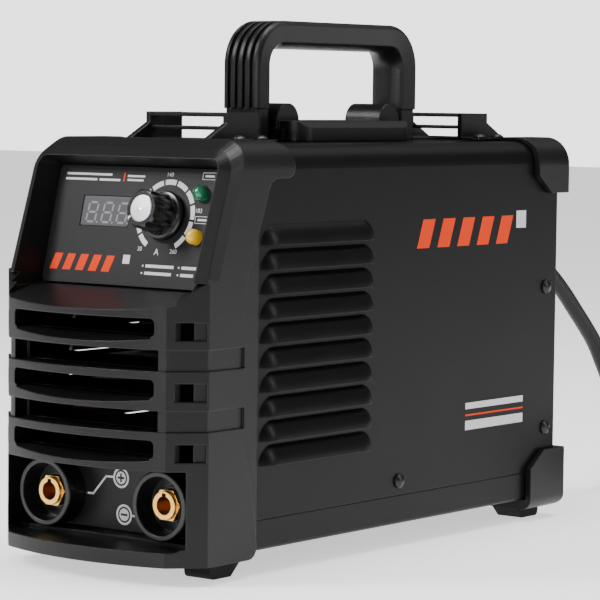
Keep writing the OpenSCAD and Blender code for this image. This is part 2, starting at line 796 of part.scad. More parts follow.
module fan_frame() {
    h = fan_size / 2;
    color([0.13, 0.13, 0.14]) translate([0, fan_y + fan_depth, fan_z]) rotate([90, 0, 0]) {
        difference() {
            linear_extrude(fan_depth) round_rect(fan_size, fan_size, 5);
            translate([0, 0, -1]) cylinder(r = h - 2.5, h = fan_depth + 2, $fn = 64);
            for (p = fan_holes()) translate([p[0], p[1], -1]) cylinder(r = 2.2, h = fan_depth + 2);
        }
        // motor seat with four struts on the inner side
        difference() {
            union() {
                translate([0, 0, fan_depth - 3.4]) cylinder(r = 19, h = 3);
                for (a = [45 : 90 : 315]) rotate(a) translate([18, -2, fan_depth - 3.2]) cube([h - 16, 4, 2.6]);
            }
            translate([0, 0, fan_depth - 5]) cylinder(r = 2.05, h = 6);
        }
    }
}

// Hub and blades; each blade is a twisted plate between the hub and the tip circle
module fan_rotor() {
    r_tip = fan_size / 2 - 4;
    hub_r = 18;
    h = fan_depth - 7;
    blades = 7;
    color([0.2, 0.2, 0.21]) translate([0, fan_y + fan_depth - 1.5, fan_z]) rotate([90, 0, 0]) {
        difference() {
            cylinder(r = hub_r, h = h + 1);
            translate([0, 0, 2]) cylinder(r = hub_r - 2, h = h);
        }
        translate([0, 0, 1]) cylinder(r = 2, h = fan_depth - 2.6);
        intersection() {
            union() for (i = [0 : blades - 1]) rotate(360 * i / blades)
                translate([hub_r - 1, 0, h / 2]) rotate([38, 0, 0])
                    translate([0, -1, -h]) cube([r_tip - hub_r + 4, 2, 2 * h]);
            difference() {
                translate([0, 0, 1]) cylinder(r = r_tip, h = h - 1);
                translate([0, 0, 0]) cylinder(r = hub_r - 0.5, h = h + 2);
            }
        }
    }
}

// Wire guard over the fan, outside the rear panel
module fan_guard() {
    color([0.16, 0.16, 0.17]) translate([0, panel_back + 2.2, fan_z]) rotate([90, 0, 0]) {
        for (r = [12 : 7 : fan_bore_r - 1]) rotate_extrude($fn = 64) translate([r, 0]) circle(0.9, $fn = 16);
        for (a = [45 : 90 : 315]) rotate(a) translate([10.5, 0, 1.2]) rotate([0, 90, 0])
            cylinder(r = 0.9, h = norm(fan_holes()[0]) - 13.3, $fn = 16);
        for (p = fan_holes()) translate([p[0], p[1], 0.2]) difference() {
            cylinder(r = 4, h = 1.8);
            translate([0, 0, -1]) cylinder(r = 2.2, h = 4);
        }
    }
}

module fan_screws() {
    color([0.6, 0.6, 0.62]) for (p = fan_holes())
        translate([p[0], panel_back + 2.05, fan_z + p[1]]) {
            rotate([-90, 0, 0]) pan_head(3.6, 2.2);
            rotate([90, 0, 0]) cylinder(r = 1.9, h = 22, $fn = 24);
        }
}

// Rocker switch: housing with a flange, and the rocker on its own pin line
module switch_housing() {
    color([0.1, 0.1, 0.11]) translate([switch_x, panel_back, switch_z]) rotate([-90, 0, 0]) difference() {
        union() {
            linear_extrude(1.6) round_rect(25.5, 31.5, 1.5);
            translate([0, 0, -19]) linear_extrude(19.1) square([21.8, 27.8], center = true);
            for (z = [-8, 0, 8]) translate([-3, z - 0.4, -27]) cube([6, 0.8, 9]);
        }
        translate([0, 0, -12.5]) linear_extrude(16) square([rocker_w + 0.6, 23.6], center = true);
        translate([0, 0, -3]) rotate([0, 90, 0]) cylinder(r = 1.5, h = 19.6, center = true);
    }
}

// Rocker resting with its upper end out; the pins turn in the housing's cheeks
module switch_rocker() {
    r = 24;
    color([0.62, 0.08, 0.06]) translate([switch_x, panel_back - 3, switch_z]) rotate([90, 0, 90]) rotate(-rocker_tilt) {
        difference() {
            intersection() {
                translate([-5, -10.9, -rocker_w / 2]) cube([11, 21.8, rocker_w]);
                cylinder(r = 11.2, h = 20, center = true);
            }
            translate([r + 3.2, 0, 0]) cylinder(r = r, h = 20, center = true);
        }
        cylinder(r = 1.45, h = 19, center = true);
    }
}

module cable_gland() {
    color([0.1, 0.1, 0.11]) translate([gland_x, panel_back, gland_z]) rotate([-90, 0, 0]) difference() {
        union() {
            translate([0, 0, -12]) cylinder(r = 8, h = 13);
            hex(20, 5);
            translate([0, 0, 5]) cylinder(r = 9.6, h = 6);
            translate([0, 0, 11]) cylinder(r1 = 9.6, r2 = 7, h = 4);
        }
        translate([0, 0, -13]) cylinder(r = cord_d / 2 + 0.05, h = 40);
    }
}

module gland_nut() {
    color([0.1, 0.1, 0.11]) translate([gland_x, panel_back - back_t - 0.1, gland_z]) rotate([90, 0, 0])
        difference() {
            hex(20, 5);
            translate([0, 0, -1]) cylinder(r = 8.05, h = 8);
        }
}

// ---------- mains cord ----------

// Tube swept along a route: rings of equal points, joined side to side
module sweep(route, r) {
    sides = 10;
    n = len(route);
    function along(i) = let (a = route[max(i - 1, 0)], b = route[min(i + 1, n - 1)]) (b - a) / norm(b - a);
    function across(t) = let (c = cross(t, [1, 0.05, 0])) c / norm(c);
    pts = [for (i = [0 : n - 1]) let (t = along(i), u = across(t), v = cross(t, u))
           for (k = [0 : sides - 1]) route[i] + r * (cos(360 * k / sides) * u + sin(360 * k / sides) * v)];
    faces = concat(
        [[for (k = [0 : sides - 1]) k]],
        [for (i = [0 : n - 2]) for (k = [0 : sides - 1]) let (a = i * sides + k, b = i * sides + (k + 1) % sides)
         [a, a + sides, b + sides, b]],
        [[for (k = [0 : sides - 1]) n * sides - 1 - k]]);
    polyhedron(points = pts, faces = faces, convexity = 6);
}

module mains_cord() {
    color([0.07, 0.07, 0.08]) sweep(CORD_ROUTE, cord_d / 2);
}

module plug_lead() {
    color([0.07, 0.07, 0.08]) sweep(LEAD_ROUTE, cord_d / 2);
}

module mains_coil() {
    r = 4;
    color([0.07, 0.07, 0.08]) translate([coil_at[0], coil_at[1], 0]) rotate_extrude($fn = 64)
        translate([coil_r, coil_h / 2]) round_rect(coil_w, coil_h, r);
}

module cord_tie() {
    color([0.15, 0.15, 0.16]) translate([coil_at[0], coil_at[1] + coil_r, coil_h / 2]) difference() {
        cube([14, coil_w + 4.4, coil_h + 3.2], center = true);
        cube([20, coil_w + 1.6, coil_h + 0.6], center = true);
        translate([0, 0, -coil_h / 2 - 1]) cube([20, 60, 2], center = true);
    }
}

// Two-pin earthed plug lying on its side, cord end towards +Y
module mains_plug() {
    color([0.07, 0.07, 0.08]) translate(plug_at) rotate([90, 0, 0]) difference() {
        union() {
            translate([0, 0, -8]) cylinder(r1 = 5.6, r2 = 7.5, h = 10);
            rotate_extrude() polygon([[0, 0], [9, 0], [12, 4], [14, 12], [15, 20], [17.5, 26],
                                      [17.5, 38], [16.5, 40], [0, 40]]);
        }
        translate([0, 0, -20]) cylinder(r = cord_d / 2 + 0.15, h = 27);
        for (s = [-1, 1]) translate([0, s * 18.2, 24]) cylinder(r = 3, h = 20);
        for (s = [-1, 1]) translate([s * 9.5, 0, 30]) cylinder(r = 2.4, h = 12);
    }
}

module plug_pins() {
    color([0.75, 0.75, 0.76]) translate(plug_at) rotate([90, 0, 0])
        for (s = [-1, 1]) translate([s * 9.5, 0, 30]) {
            cylinder(r = 2.4, h = 27);
            translate([0, 0, 27]) cylinder(r1 = 2.4, r2 = 1.4, h = 2);
        }
}

// ---------- handle and racks ----------

// Section across the handle: ribbed outer face at y = 0, swelling inner face
module handle_section(ribs) {
    hw = handle_w / 2;
    in_w = hw - 1.5;
    groove = 2.4;
    swell_r = (in_w * in_w + grip_swell * grip_swell) / (2 * grip_swell);
    difference() {
        polygon(concat([[-hw, 2], [-hw + 1, 0.6], [-hw + 2.4, 0], [hw - 2.4, 0], [hw - 1, 0.6], [hw, 2],
                        [in_w, grip_t]],
                       arc(0, grip_t + grip_swell - swell_r, swell_r,
                           asin((swell_r - grip_swell) / swell_r),
                           180 - asin((swell_r - grip_swell) / swell_r), 10)));
        if (ribs) for (k = [-1.5 : 1 : 1.5]) translate([k * handle_w / 5 - groove / 2, -1]) square([groove, 3.2]);
    }
}

module handle_leg() {
    foot = 17;
    corner_r = 23;
    translate([0, 0.9, case_top + 0.3]) linear_extrude(foot) scale([0.93, 0.93]) handle_section(false);
    translate([0, 0, case_top + foot]) linear_extrude(handle_h - corner_r - foot) handle_section(true);
    translate([0, corner_r, case_top + handle_h - corner_r]) rotate([90, 0, -90])
        rotate_extrude(angle = 90) translate([corner_r, 0]) rotate(90) handle_section(true);
    translate([0, corner_r, case_top + handle_h]) rotate([-90, 0, 0])
        linear_extrude(handle_len / 2 - corner_r) handle_section(true);
}

// Loop handle; the ribs of its outer face run round the corners
module handle() {
    color([0.1, 0.1, 0.11]) translate([0, handle_y0, 0]) {
        handle_leg();
        translate([0, handle_len, 0]) mirror([0, 1, 0]) handle_leg();
    }
}

// Seat moulding between the handle's legs, with a half-round boss beside each leg
module handle_base() {
    z0 = case_top + 0.3;
    y0 = handle_y0 + 18;
    y1 = handle_y0 + handle_len - 21.5;
    boss_r = 9;
    leg_in = grip_t + grip_swell + 1.5;
    color([0.1, 0.1, 0.11]) {
        intersection() {
            translate([0, 0, z0]) linear_extrude(base_h) translate([0, (y0 + y1) / 2])
                round_rect(52, y1 - y0, 10);
            along_y(y0, y1) polygon([[-26, z0], [26, z0], [26, z0 + base_h - 3.6], [22, z0 + base_h],
                                     [-22, z0 + base_h], [-26, z0 + base_h - 3.6]]);
        }
        translate([-15, handle_y0 + leg_in, z0]) cube([30, handle_len - 2 * leg_in, base_h - 4]);
        for (y = [handle_y0 + 25.2, handle_y0 + handle_len - 25.2])
            translate([0, y, z0]) rotate([90, 0, 90]) linear_extrude(23, center = true) {
                translate([-boss_r, 0]) square([2 * boss_r, base_h]);
                translate([0, base_h]) circle(boss_r);
            }
    }
}

// Strap rack: two cheeks joined by two bars at the outer end, on a base plate
module strap_rack() {
    cheek = 3;
    bar_y = 19;
    color([0.1, 0.1, 0.11]) {
        for (s = [0, 1]) mirror([s, 0, 0]) translate([rack_half_w - cheek, 0, 0])
            rotate([90, 0, 90]) linear_extrude(cheek)
                polygon([[0, 0], [bar_y - 0.5, 9.6], [bar_y - 0.5, rack_h], [rack_len, rack_h], [rack_len, 0]]);
        difference() {
            union() {
                translate([-rack_half_w, bar_y, rack_h - 2.2]) cube([2 * rack_half_w, 6, 2.2]);
                translate([-rack_half_w, bar_y + 0.4, rack_h - 8.8]) cube([2 * rack_half_w, 4, 2]);
                translate([-rack_half_w, 2, 0]) cube([2 * rack_half_w, rack_len - 2, 1.6]);
                for (s = [-1, 1]) translate([s > 0 ? rack_half_w - 1 : -rack_half_w - 12, 9, 0])
                    cube([13, rack_len - 9, 1.6]);
            }
            translate([-rack_half_w + 6, 8, -1]) cube([2 * rack_half_w - 12, rack_len - 14, 4]);
            for (s = [-1, 1], y = [19, 36]) translate([s * (rack_half_w + 7), y, -1]) cylinder(r = 2.1, h = 4);
        }
    }
}

module front_rack() {
    translate([0, rack_y0, case_top + 0.3]) strap_rack();
}

module rear_rack() {
    translate([0, case_y1 + 2, case_top + 0.3]) mirror([0, 1, 0]) strap_rack();
}

module rack_screws() {
    color([0.12, 0.12, 0.13]) for (p = rack_holes()) translate([p[0], p[1], case_top + 1.95]) {
        pan_head(3.6, 2.2);
        translate([0, 0, -5]) cylinder(r = 1.9, h = 5.2, $fn = 24);
    }
}

// Foot with an upright outer end and a tapered inner end
module foot() {
    r = 3;
    rotate([90, 0, 90]) linear_extrude(16)
        polygon(concat([[25, foot_h], [0, foot_h]], arc(r, r, r, 180, 270, 4), [[16, 0]]));
}

module feet() {
    color([0.08, 0.08, 0.09]) for (s = [0, 1]) mirror([s, 0, 0]) {
        translate([half_w - 25.5, edge_y + 13, 0]) foot();
        translate([half_w - 25.5, rear_y - 9, 0]) mirror([0, 1, 0]) difference() {
            foot();
            translate([-1, -1, bumper_low_z]) cube([18, 40, 10]);
        }
    }
}

// ---------- power electronics ----------

board_z = tray_z + 12;
board_y0 = -78;
board_len = 165;

module main_board() {
    color([0.1, 0.35, 0.2]) difference() {
        translate([-56, board_y0, board_z]) cube([112, board_len, 1.6]);
        for (x = [-51, 51], y = [board_y0 + 5, board_y0 + board_len - 5])
            translate([x, y, board_z - 1]) cylinder(r = 1.7, h = 4);
    }
}

module board_standoffs() {
    color([0.75, 0.72, 0.5]) for (x = [-51, 51], y = [board_y0 + 5, board_y0 + board_len - 5])
        translate([x, y, tray_z + sheet_t]) {
            hex(6, board_z - tray_z - sheet_t);
            cylinder(r = 1.6, h = board_z - tray_z - sheet_t + 3);
        }
}

// Finned extrusion standing on the board
module heat_sink(x0) {
    color([0.72, 0.73, 0.75]) along_y(board_y0 + 12, board_y0 + 122) translate([x0, board_z + 2]) {
        square([5, 96]);
        for (z = [0 : 8 : 94]) translate([0, z]) square([26, 2]);
    }
}

module heat_sink_right() {
    heat_sink(20);
}

module heat_sink_left() {
    mirror([1, 0, 0]) heat_sink(20);
}

module power_transistors() {
    color([0.12, 0.12, 0.13]) for (s = [0, 1], y = [0 : 22 : 88]) mirror([s, 0, 0])
        translate([14.8, board_y0 + 22 + y, board_z + 12]) {
            cube([5, 16, 20]);
            for (k = [2.5, 8, 13.5]) translate([2, k - 0.6, -10]) cube([0.8, 1.2, 10]);
        }
}

module bulk_capacitors() {
    color([0.15, 0.2, 0.35]) for (x = [-34, 0, 34]) translate([x, board_y0 + 146, board_z + 1.7]) {
        cylinder(r = 15, h = 46);
        translate([0, 0, 46]) cylinder(r1 = 15, r2 = 14.2, h = 0.8);
    }
}

module transformer_core() {
    color([0.25, 0.25, 0.27]) translate([-13, board_y0 + 60, board_z + 36]) difference() {
        cube([26, 56, 48]);
        translate([-1, 10, 10]) cube([28, 12, 28]);
        translate([-1, 34, 10]) cube([28, 12, 28]);
    }
}

module transformer_winding() {
    color([0.75, 0.6, 0.15]) translate([0, board_y0 + 88, board_z + 60]) difference() {
        translate([0, 0, -13.5]) linear_extrude(27) round_rect(36, 35, 6);
        translate([0, 0, -14]) linear_extrude(28) square([26.4, 12.4], center = true);
    }
}

module output_choke() {
    color([0.7, 0.45, 0.25]) translate([0, board_y0 + 36, board_z + 2 + 12]) rotate_extrude()
        translate([0, 0]) difference() {
            translate([7.5, 0]) round_rect(12, 22, 3);
            translate([-20, -20]) square([22, 40]);
        }
}

module input_rectifier() {
    color([0.1, 0.1, 0.12]) translate([-14, board_y0 + 128 - 4, board_z + 60]) {
        translate([0, -6, -58]) cube([28, 5, 22]);
    }
}

front_bezel();
control_panel();
display_window();
display_module();
current_knob();
knob_cap();
knob_shaft();
potentiometer();
power_led();
overheat_led();
control_board();
socket_plate();
socket_positive();
socket_negative();
contact_positive();
contact_negative();
socket_nuts();
output_busbars();
top_cover();
base_tray();
rear_frame();
fan_frame();
fan_rotor();
fan_guard();
switch_housing();
switch_rocker();
cable_gland();
gland_nut();
mains_cord();
mains_coil();
plug_lead();
mains_plug();
plug_pins();
cord_tie();
handle();
handle_base();
front_rack();
rear_rack();
feet();
case_screws();
rack_screws();
fan_screws();
main_board();
board_standoffs();
heat_sink_left();
heat_sink_right();
power_transistors();
bulk_capacitors();
transformer_core();
transformer_winding();
output_choke();
input_rectifier();
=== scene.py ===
# %% [markdown]
# # A stick welding inverter
# The machine is a sheet steel box between two black mouldings. The front one holds the dial, the
# lamps and the two cable sockets, and the rear one the fan, the mains switch and the cord. All the
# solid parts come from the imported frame, in metres, and stay where they are. This script gives them
# their finishes, adds the printed marks and the mains cord, and details the small hardware.

# %% Load the frame
import json
from math import cos, pi, radians, sin

import bpy
import bmesh
from mathutils import Matrix, Vector


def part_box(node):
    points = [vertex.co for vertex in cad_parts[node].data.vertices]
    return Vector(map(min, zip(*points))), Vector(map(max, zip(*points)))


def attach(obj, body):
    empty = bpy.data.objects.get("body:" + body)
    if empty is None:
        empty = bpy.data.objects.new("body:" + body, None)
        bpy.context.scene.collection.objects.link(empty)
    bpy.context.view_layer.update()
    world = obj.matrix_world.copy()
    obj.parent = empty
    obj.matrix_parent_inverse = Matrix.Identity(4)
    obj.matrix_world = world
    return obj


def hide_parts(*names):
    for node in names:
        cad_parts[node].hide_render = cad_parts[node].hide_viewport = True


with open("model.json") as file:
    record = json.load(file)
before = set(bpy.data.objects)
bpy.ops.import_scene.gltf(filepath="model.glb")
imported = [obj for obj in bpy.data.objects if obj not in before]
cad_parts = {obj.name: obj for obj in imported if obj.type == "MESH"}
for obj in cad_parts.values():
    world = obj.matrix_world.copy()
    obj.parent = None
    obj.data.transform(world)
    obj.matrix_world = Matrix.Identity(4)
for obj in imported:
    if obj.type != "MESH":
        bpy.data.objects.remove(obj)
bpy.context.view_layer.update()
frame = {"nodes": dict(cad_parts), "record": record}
nodes = frame["nodes"]
MM = 0.001

# %% [markdown]
# ## Camera
# A long lens from some way off keeps the box's edges nearly parallel. The camera stands ahead and to
# the right of the machine, a little above its middle, and looks slightly down. It is set from a
# position and three directions, because a tiny tilt of the horizon is easier to state that way.

# %% Camera
LENS = 167.3
SENSOR = 36
CAMERA_AT = Vector((0.9048, -1.1471, 0.2326))
TURN = radians(38.02)
DIP = radians(4.19)
ROLL = radians(0.65)

flat_right = Vector((cos(TURN), sin(TURN), 0))
forward = Vector((-sin(TURN) * cos(DIP), cos(TURN) * cos(DIP), -sin(DIP)))
level_up = flat_right.cross(forward)
right = flat_right * cos(ROLL) + level_up * sin(ROLL)
up = level_up * cos(ROLL) - flat_right * sin(ROLL)

camera_data = bpy.data.cameras.new("camera")
camera_data.lens = LENS
camera_data.sensor_width = SENSOR
camera = bpy.data.objects.new("camera", camera_data)
bpy.context.scene.collection.objects.link(camera)
facing = Matrix((right, up, -forward)).transposed().to_4x4()
camera.matrix_world = Matrix.Translation(CAMERA_AT) @ facing
bpy.context.scene.camera = camera
print("camera:", [round(v, 4) for v in CAMERA_AT])

# %% [markdown]
# ## Mains cord
# The lead is 1.8 m of 9 mm rubber cord, a length taken from common practice. It leaves the gland
# level, falls in an arc, and lies down behind the machine, where the rest is wound into four and a
# half turns and tied. The turns are stacked like pipes, two below, one in the hollow between them and
# two on top, so each transition rolls round the turn beside it. The path is one spline, because a
# cord is one length of material.

# %% Cord path
CORD_D = 9 * MM
COIL_AT = (61, 354)
FREE_ROUTE = [(36, 140, 141.6), (36, 152, 141.6), (36, 164, 141.6), (36, 174, 141), (36, 183, 139),
              (36, 192, 135), (36.5, 201, 128.5), (37, 211, 120), (37.5, 221, 110.5),
              (38, 231, 101), (38.5, 241, 90.5), (38.5, 250, 78.5), (38.2, 258, 67.5),
              (37.2, 265, 56), (35.2, 271.5, 44.5), (31.8, 279, 33), (26.6, 288, 22),
              (19.7, 299, 13.5), (11.2, 312, 8), (3.4, 325, 5.5), (-1.2, 338, 4.7), (-3.1, 352, 4.6)]
LEAD_ROUTE = [(125, 355, 4.6), (125, 346, 4.7), (124.6, 338, 6), (124, 330, 9.5),
              (123, 322, 13.8), (121.8, 316, 16.4), (121.1, 311, 17.4), (121, 307, 17.5),
              (121, 299, 17.5), (121, 294, 17.5)]


def ease(turned, start, end):
    """0 before start, 1 after end and a cosine ramp between them."""
    part = min(max((turned - start) / (end - start), 0), 1)
    return (1 - cos(pi * part)) / 2


def hump(turned, start, end, height):
    return height * sin(pi * min(max((turned - start) / (end - start), 0), 1)) ** 2


def around(centre, gap, angle):
    return centre[0] + gap * cos(radians(angle)), centre[1] + gap * sin(radians(angle))


LOW_OUT, MIDDLE, TOP_OUT = (54.5, 4.6), (50, 12.4), (54.5, 20.2)


def coil_section(turned):
    """Radius and height of the cord after it has turned by so many degrees round the coil."""
    if turned < 560:
        r = 64 - 9.5 * ease(turned, 0, 90) - 9 * ease(turned, 280, 370)
        return r, LOW_OUT[1]
    if turned < 840:
        r, z = around(LOW_OUT, 9, 180 - 60 * ease(turned, 560, 640))
        return r, z + hump(turned, 640, 730, 1.4)
    if turned < 1110:
        r, z = around(TOP_OUT, 9, 240 - 60 * ease(turned, 840, 920))
        return r, z + hump(turned, 1000, 1090, 1.5)
    if turned < 1465:
        lift = hump(turned, 1110, 1200, 1.6) + hump(turned, 1360, 1450, 1.5)
        return 45.5 + 9 * ease(turned, 1110, 1200), 20.2 + lift
    fall = ease(turned, 1465, 1600)
    if fall < 0.5:
        return around(MIDDLE, 9.05, 60 - 120 * fall)
    r, z = around(LOW_OUT, 9.2, 60 - 120 * (fall - 0.5))
    return r + 0.3 * (2 * fall - 1), z


START_ANGLE = 182
TURNED = 1621
coil_points = []
steps = 108
for i in range(1, steps):
    turned = TURNED * i / steps
    r, z = coil_section(turned)
    angle = radians(START_ANGLE - turned)
    coil_points.append((COIL_AT[0] + r * cos(angle), COIL_AT[1] + r * sin(angle), z))
cord_points = [Vector(p) * MM for p in FREE_ROUTE + coil_points + LEAD_ROUTE]
print("cord: points", len(cord_points))


# %% [markdown]
# A Bezier spline passes through every point, so the route stays where it was planned. Each handle
# follows the bisector of its two legs and is a third of its leg long, which is near a true arc.
# The jacket is a round bevel of one metre scaled by the radius at each point, so that the box that
# Blender keeps for the curve, which takes in that radius, is the true one.

# %% Cord curve
def tube_curve(name, points, radius, sides=6):
    data = bpy.data.curves.new(name, "CURVE")
    data.dimensions = "3D"
    data.bevel_depth = 1
    data.bevel_resolution = sides
    data.resolution_u = 4
    data.use_fill_caps = True
    spline = data.splines.new("BEZIER")
    spline.bezier_points.add(len(points) - 1)
    for i, (knot, point) in enumerate(zip(spline.bezier_points, points)):
        back = point - points[max(i - 1, 0)]
        ahead = points[min(i + 1, len(points) - 1)] - point
        along = (back.normalized() + ahead.normalized()).normalized()
        knot.handle_left_type = knot.handle_right_type = "FREE"
        knot.co = point
        knot.radius = radius
        knot.handle_left = point - along * back.length / 3
        knot.handle_right = point + along * ahead.length / 3
    obj = bpy.data.objects.new(name, data)
    bpy.context.scene.collection.objects.link(obj)
    return obj


def curve_length(obj):
    bpy.context.view_layer.update()
    return obj.data.splines[0].calc_length(resolution=16)


mains_lead = tube_curve("mains_lead", cord_points, CORD_D / 2)
cord_length = curve_length(mains_lead)
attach(mains_lead, "machine")
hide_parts("mains_cord", "mains_coil", "plug_lead")
print("mains lead:", round(cord_length, 3), "m")

# %% [markdown]
# ## Finishes
# Nearly everything here is black, so the finishes differ in gloss and grain rather than in colour:
# spark-eroded mouldings, satin powder coat, glossy window, rubber, turned brass. One recipe makes
# them all. A broad noise varies colour and roughness a little, as handling does, a fine noise gives
# the grain, and a rounded-edge normal softens the sharp edges. Those edges are also painted lighter,
# a painted highlight along every sharp edge.

# %% Finish recipe
def node_at(tree, kind, x, y, **values):
    made = tree.nodes.new(kind)
    made.location = (x, y)
    for key, value in values.items():
        setattr(made, key, value)
    return made


def finish_of(name, color, rough, grain=900, depth=0.15, metallic=0.0, spread=0.12, edge=0.0004,
              edge_highlight=0.0, specular=0.5, coat=0.0, streak=(1, 1, 1)):
    """A procedural finish: colour, roughness and bump from noises in the object's own space."""
    material = bpy.data.materials.new(name)
    material.use_nodes = True
    tree = material.node_tree
    link = tree.links.new
    shader = tree.nodes["Principled BSDF"]
    shader.inputs["Metallic"].default_value = metallic
    shader.inputs["Specular IOR Level"].default_value = specular
    shader.inputs["Coat Weight"].default_value = coat
    shader.inputs["Coat Roughness"].default_value = 0.12
    place = node_at(tree, "ShaderNodeTexCoord", -1300, 0)
    stretch = node_at(tree, "ShaderNodeMapping", -1100, 0)
    stretch.inputs["Scale"].default_value = streak
    link(place.outputs["Object"], stretch.inputs["Vector"])
    broad = node_at(tree, "ShaderNodeTexNoise", -900, 250)
    broad.inputs["Scale"].default_value = 28
    broad.inputs["Detail"].default_value = 6
    broad.inputs["Roughness"].default_value = 0.62
    fine = node_at(tree, "ShaderNodeTexNoise", -900, -150)
    fine.inputs["Scale"].default_value = grain
    fine.inputs["Detail"].default_value = 3
    link(place.outputs["Object"], broad.inputs["Vector"])
    link(stretch.outputs["Vector"], fine.inputs["Vector"])
    tone = node_at(tree, "ShaderNodeMix", -500, 300, data_type="RGBA")
    tone.inputs["A"].default_value = (*[c * (1 - spread) for c in color], 1)
    tone.inputs["B"].default_value = (*[min(c * (1 + spread), 1) for c in color], 1)
    link(broad.outputs["Fac"], tone.inputs["Factor"])
    color_out = tone.outputs["Result"]
    rounded = node_at(tree, "ShaderNodeBevel", -700, -450, samples=4)
    rounded.inputs["Radius"].default_value = edge
    # Painted highlight: the colour is lightened along sharp edges, where the bevel normal leans away from the
    # face's own normal.
    if edge_highlight > 0:
        flat = node_at(tree, "ShaderNodeNewGeometry", -900, -650)
        lean = node_at(tree, "ShaderNodeVectorMath", -500, -600, operation="DOT_PRODUCT")
        link(rounded.outputs["Normal"], lean.inputs[0])
        link(flat.outputs["Normal"], lean.inputs[1])
        sharp = node_at(tree, "ShaderNodeMapRange", -300, -600)
        sharp.inputs["From Min"].default_value = 0.99
        sharp.inputs["From Max"].default_value = 0.75
        sharp.inputs["To Max"].default_value = edge_highlight
        link(lean.outputs["Value"], sharp.inputs["Value"])
        edge_highlighted = node_at(tree, "ShaderNodeMix", -250, 300, data_type="RGBA")
        edge_highlighted.inputs["B"].default_value = (*[min(c * 2.2 + 0.02, 1) for c in color], 1)
        link(sharp.outputs["Result"], edge_highlighted.inputs["Factor"])
        link(color_out, edge_highlighted.inputs["A"])
        color_out = edge_highlighted.outputs["Result"]
    link(color_out, shader.inputs["Base Color"])
    gloss = node_at(tree, "ShaderNodeMapRange", -500, 50)
    gloss.inputs["To Min"].default_value = max(rough - 0.07, 0.03)
    gloss.inputs["To Max"].default_value = min(rough + 0.07, 1)
    link(broad.outputs["Fac"], gloss.inputs["Value"])
    link(gloss.outputs["Result"], shader.inputs["Roughness"])
    bump = node_at(tree, "ShaderNodeBump", -250, -200)
    bump.inputs["Strength"].default_value = depth
    bump.inputs["Distance"].default_value = 0.0003
    link(fine.outputs["Fac"], bump.inputs["Height"])
    link(rounded.outputs["Normal"], bump.inputs["Normal"])
    link(bump.outputs["Normal"], shader.inputs["Normal"])
    return material


# %% The machine's finishes
# Each finish's edge lightening value below sets the strength of its painted highlight along sharp edges.
FINISHES = {
    "shell": finish_of("shell", (0.0045, 0.0045, 0.005), 0.34, 1500, 0.5, edge_highlight=0.3, edge=0.0009,
                       specular=0.26),
    "panel_plate": finish_of("panel_plate", (0.0105, 0.010, 0.0112), 0.45, 2600, 0.12,
                             edge=0.0002, specular=0.25),
    "display_glass": finish_of("display_glass", (0.05, 0.048, 0.054), 0.3, 400, 0.02, coat=0.15),
    "display_digits": finish_of("display_digits", (0.42, 0.41, 0.43), 0.35, 500, 0.03),
    "knob_plastic": finish_of("knob_plastic", (0.004, 0.004, 0.0045), 0.24, 1800, 0.08,
                              edge=0.0005, edge_highlight=0.25, specular=0.5),
    "knob_silver": finish_of("knob_silver", (0.82, 0.82, 0.84), 0.3, 300, 0.08, metallic=0.9,
                             spread=0.05),
    "steel": finish_of("steel", (0.55, 0.55, 0.57), 0.3, 700, 0.08, metallic=1.0, streak=(1, 1, 9)),
    "circuit_board": finish_of("circuit_board", (0.008, 0.05, 0.022), 0.42, 500, 0.1),
    "socket_plate": finish_of("socket_plate", (0.008, 0.008, 0.009), 0.42, 2400, 0.15,
                              edge=0.0002, specular=0.25),
    "socket_plastic": finish_of("socket_plastic", (0.0045, 0.0045, 0.005), 0.3, 1500, 0.15,
                                edge=0.0008, edge_highlight=0.3, specular=0.42),
    "brass": finish_of("brass", (0.80, 0.47, 0.13), 0.27, 600, 0.1, metallic=1.0, streak=(1, 12,
                       1), edge=0.0005),
    "copper": finish_of("copper", (0.2, 0.09, 0.05), 0.5, 600, 0.08, metallic=1.0),
    "case_paint": finish_of("case_paint", (0.0032, 0.0033, 0.0037), 0.34, 620, 0.16, edge=0.0008,
                            edge_highlight=0.15, specular=0.15),
    "black_plastic": finish_of("black_plastic", (0.006, 0.006, 0.0066), 0.5, 1200, 0.25,
                               edge=0.0005, specular=0.3),
    "black_wire": finish_of("black_wire", (0.006, 0.006, 0.0064), 0.4, 900, 0.1, specular=0.3),
    "switch_red": finish_of("switch_red", (0.55, 0.02, 0.018), 0.28, 700, 0.05, edge=0.0004),
    "cord_rubber": finish_of("cord_rubber", (0.0075, 0.0075, 0.008), 0.5, 800, 0.3, spread=0.2,
                             specular=0.3),
    "plug_rubber": finish_of("plug_rubber", (0.0085, 0.0085, 0.009), 0.52, 900, 0.3, edge=0.0008,
                             specular=0.3),
    "grip_plastic": finish_of("grip_plastic", (0.005, 0.005, 0.0056), 0.34, 1400, 0.45,
                              edge=0.0012, edge_highlight=0.3, specular=0.28),
    "foot_rubber": finish_of("foot_rubber", (0.006, 0.006, 0.0064), 0.7, 900, 0.4, edge=0.0008,
                             specular=0.2),
    "screw_black": finish_of("screw_black", (0.014, 0.014, 0.015), 0.3, 700, 0.12, metallic=0.3,
                             edge_highlight=0.4, specular=0.4),
    "aluminium": finish_of("aluminium", (0.05, 0.05, 0.053), 0.5, 500, 0.12, metallic=1.0,
                           streak=(1, 0.05, 1)),
    "component_black": finish_of("component_black", (0.01, 0.01, 0.0105), 0.5, 900, 0.2,
                                 specular=0.3),
    "capacitor_sleeve": finish_of("capacitor_sleeve", (0.03, 0.05, 0.15), 0.25, 400, 0.05),
    "ferrite": finish_of("ferrite", (0.05, 0.05, 0.055), 0.6, 700, 0.3),
    "winding_tape": finish_of("winding_tape", (0.16, 0.1, 0.012), 0.45, 300, 0.1),
}
